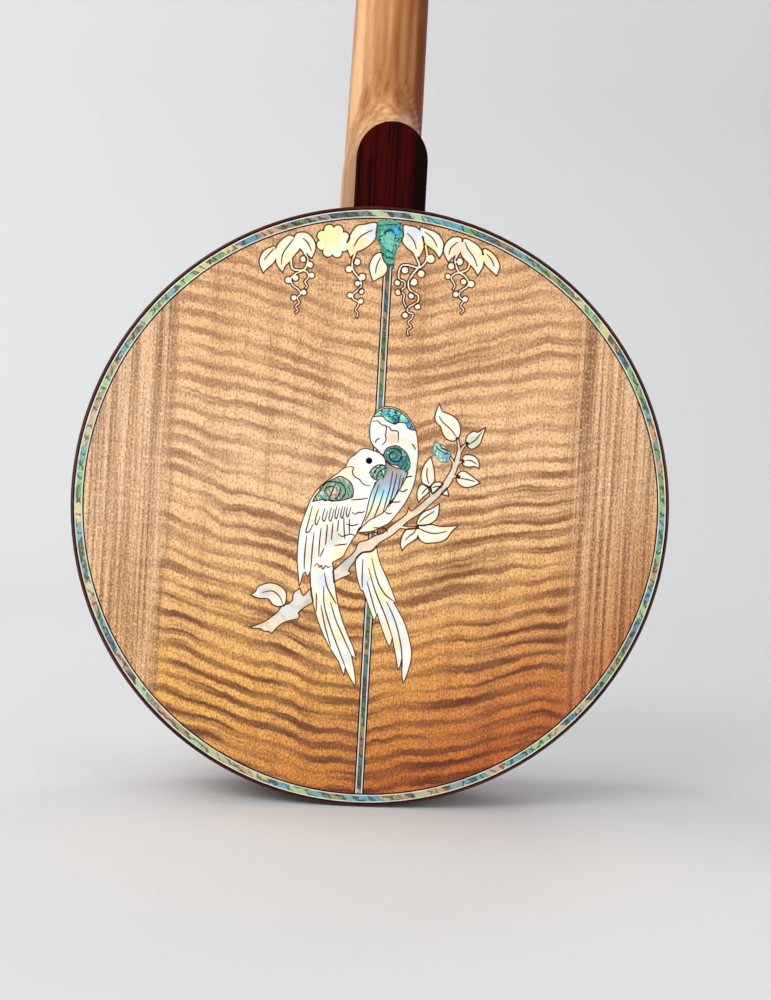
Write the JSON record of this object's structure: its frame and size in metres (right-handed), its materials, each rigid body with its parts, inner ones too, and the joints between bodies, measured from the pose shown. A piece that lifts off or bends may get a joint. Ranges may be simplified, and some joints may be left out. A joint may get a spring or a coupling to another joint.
{
  "type": "banjo",
  "caption": "Five-string resonator banjo with a flamed-wood back inlaid with two long-tailed birds on a leafy branch, a removable resonator and geared tuners.",
  "frame": {"origin": "hanging point: the neck's back just below the peghead, where a hanger's yoke bears", "axes": "+Z along the neck towards the peghead, -Y out of the resonator's flat back, +X to the right seen from the back"},
  "size_m": [0.349, 0.122, 0.9924],
  "materials": {
    "flamed_wood": "gloss lacquered curly wood, bookmatched",
    "core_wood": "plain plywood core",
    "side_wood": "gloss lacquered",
    "edge_binding": "dark red-brown wood binding, gloss",
    "abalone": "polished abalone shell",
    "purfling_white": "ivory-white line",
    "purfling_black": "black line",
    "mother_of_pearl": "polished mother-of-pearl",
    "grey_pearl": "polished grey pearl",
    "plated_metal": "nickel plate",
    "steel": "plain steel",
    "tone_ring_bronze": "cast bronze, plated",
    "nickel_silver": "polished fret wire",
    "brass": "brass",
    "rim_maple": "laminated maple",
    "head_film": "frosted film",
    "ebony": "ebony",
    "neck_wood": "gloss lacquered maple",
    "heel_cap_wood": "very dark red-brown wood, gloss",
    "bone": "polished bone",
    "button_plastic": "pearly plastic",
    "cover_plastic": "black plastic"
  },
  "bodies": {
    "banjo": {"wood_rim": "rim_maple", "tone_ring": "tone_ring_bronze", "flange": "plated_metal", "tension_hoop": "plated_metal", "head": "head_film", "head_collar": "head_film", "bracket_hooks": "plated_metal", "bracket_nuts": "plated_metal", "coordinator_rods": "steel", "armrest": "plated_metal", "tailpiece_bracket": "plated_metal", "tailpiece_base": "plated_metal", "bridge_body": "rim_maple", "bridge_top": "ebony", "neck": "neck_wood", "heel_cap": "heel_cap_wood", "fingerboard": "ebony", "frets": "nickel_silver", "fret_markers": "mother_of_pearl", "nut": "bone", "truss_rod": "steel", "peghead": "neck_wood", "peghead_overlay": "ebony", "truss_rod_cover": "cover_plastic", "tuner_housings": "plated_metal", "fifth_peg_case": "plated_metal", "strings": "steel"},
    "resonator": {"veneer_left": "flamed_wood", "veneer_right": "flamed_wood", "back_core": "core_wood", "resonator_side": "side_wood", "edge_binding": "edge_binding", "abalone_purfling": "abalone", "purfling_white": "purfling_white", "purfling_black": "purfling_black", "inlay_left_bird": "mother_of_pearl", "inlay_right_bird": "mother_of_pearl", "inlay_right_wing": "grey_pearl", "inlay_abalone": "abalone", "inlay_branch": "grey_pearl", "inlay_leaves": "mother_of_pearl", "inlay_garland": "mother_of_pearl", "resonator_lugs": "plated_metal"},
    "tailpiece_cover": {"tailpiece_cover": "plated_metal"},
    "tailpiece_thumb_nut": {"tailpiece_thumb_nut": "plated_metal"},
    "truss_rod_nut": {"truss_rod_nut": "brass"},
    "fifth_peg_post": {"fifth_peg_post": "plated_metal"},
    "fifth_peg_button": {"fifth_peg_button": "button_plastic"},
    "thumb_screw_1": {"thumb_screw_1": "plated_metal"},
    "thumb_screw_2": {"thumb_screw_2": "plated_metal"},
    "thumb_screw_3": {"thumb_screw_3": "plated_metal"},
    "thumb_screw_4": {"thumb_screw_4": "plated_metal"},
    "tuner_post_1": {"tuner_post_1": "plated_metal"},
    "tuner_button_1": {"tuner_button_1": "button_plastic"},
    "tuner_post_2": {"tuner_post_2": "plated_metal"},
    "tuner_button_2": {"tuner_button_2": "button_plastic"},
    "tuner_post_3": {"tuner_post_3": "plated_metal"},
    "tuner_button_3": {"tuner_button_3": "button_plastic"},
    "tuner_post_4": {"tuner_post_4": "plated_metal"},
    "tuner_button_4": {"tuner_button_4": "button_plastic"}
  },
  "joints": [
    {"name": "resonator_slide", "type": "slide", "parent": "banjo", "child": "resonator", "axis": [0, -1, 0], "range_m": [0, 0.08]},
    {"name": "thumb_screw_1_turn", "type": "hinge", "parent": "banjo", "child": "thumb_screw_1", "pos_m": [0.11915, -0.0235, -0.53321], "axis": [0, 1, 0], "range_deg": [0, 2880]},
    {"name": "thumb_screw_2_turn", "type": "hinge", "parent": "banjo", "child": "thumb_screw_2", "pos_m": [0.11106, -0.0235, -0.75518], "axis": [0, 1, 0], "range_deg": [0, 2880]},
    {"name": "thumb_screw_3_turn", "type": "hinge", "parent": "banjo", "child": "thumb_screw_3", "pos_m": [-0.11106, -0.0235, -0.75518], "axis": [0, 1, 0], "range_deg": [0, 2880]},
    {"name": "thumb_screw_4_turn", "type": "hinge", "parent": "banjo", "child": "thumb_screw_4", "pos_m": [-0.11915, -0.0235, -0.53321], "axis": [0, 1, 0], "range_deg": [0, 2880]},
    {"name": "tuner_button_1_turn", "type": "hinge", "parent": "banjo", "child": "tuner_button_1", "pos_m": [-0.018, -0.01379, 0.04172], "axis": [0, 0.9703, 0.2419], "continuous": true},
    {"name": "tuner_post_1_turn", "type": "hinge", "parent": "banjo", "child": "tuner_post_1", "pos_m": [-0.018, 0.01047, 0.04777], "axis": [0, 0.9703, 0.2419], "continuous": true},
    {"name": "tuner_button_2_turn", "type": "hinge", "parent": "banjo", "child": "tuner_button_2", "pos_m": [-0.017, -0.02807, 0.09897], "axis": [0, 0.9703, 0.2419], "continuous": true},
    {"name": "tuner_post_2_turn", "type": "hinge", "parent": "banjo", "child": "tuner_post_2", "pos_m": [-0.017, -0.00381, 0.10502], "axis": [0, 0.9703, 0.2419], "continuous": true},
    {"name": "tuner_button_3_turn", "type": "hinge", "parent": "banjo", "child": "tuner_button_3", "pos_m": [0.017, -0.02807, 0.09897], "axis": [0, 0.9703, 0.2419], "continuous": true},
    {"name": "tuner_post_3_turn", "type": "hinge", "parent": "banjo", "child": "tuner_post_3", "pos_m": [0.017, -0.00381, 0.10502], "axis": [0, 0.9703, 0.2419], "continuous": true},
    {"name": "tuner_button_4_turn", "type": "hinge", "parent": "banjo", "child": "tuner_button_4", "pos_m": [0.018, -0.01379, 0.04172], "axis": [0, 0.9703, 0.2419], "continuous": true},
    {"name": "tuner_post_4_turn", "type": "hinge", "parent": "banjo", "child": "tuner_post_4", "pos_m": [0.018, 0.01047, 0.04777], "axis": [0, 0.9703, 0.2419], "continuous": true},
    {"name": "fifth_peg_button_turn", "type": "hinge", "parent": "banjo", "child": "fifth_peg_button", "pos_m": [0.055, 0.0115, -0.1561], "axis": [1, 0, 0], "continuous": true},
    {"name": "fifth_peg_post_turn", "type": "hinge", "parent": "banjo", "child": "fifth_peg_post", "pos_m": [0.03, 0.0115, -0.1561], "axis": [1, 0, 0], "continuous": true},
    {"name": "tailpiece_cover_hinge", "type": "hinge", "parent": "banjo", "child": "tailpiece_cover", "pos_m": [0, 0.0229, -0.786], "axis": [-1, 0, 0], "range_deg": [0, 80]},
    {"name": "tailpiece_thumb_nut_turn", "type": "hinge", "parent": "banjo", "child": "tailpiece_thumb_nut", "pos_m": [0, 0.0215, -0.796], "axis": [0, 1, 0], "range_deg": [-720, 720]},
    {"name": "truss_rod_nut_turn", "type": "hinge", "parent": "banjo", "child": "truss_rod_nut", "pos_m": [0, 0.0085, 0.0089], "axis": [0, 0, 1], "range_deg": [-360, 360]}
  ],
  "couplings": [
    {"joint": "tuner_post_1_turn", "follows": "tuner_button_1_turn", "ratio": 0.25},
    {"joint": "tuner_post_2_turn", "follows": "tuner_button_2_turn", "ratio": 0.25},
    {"joint": "tuner_post_3_turn", "follows": "tuner_button_3_turn", "ratio": 0.25},
    {"joint": "tuner_post_4_turn", "follows": "tuner_button_4_turn", "ratio": 0.25},
    {"joint": "fifth_peg_post_turn", "follows": "fifth_peg_button_turn", "ratio": 0.25}
  ]
}
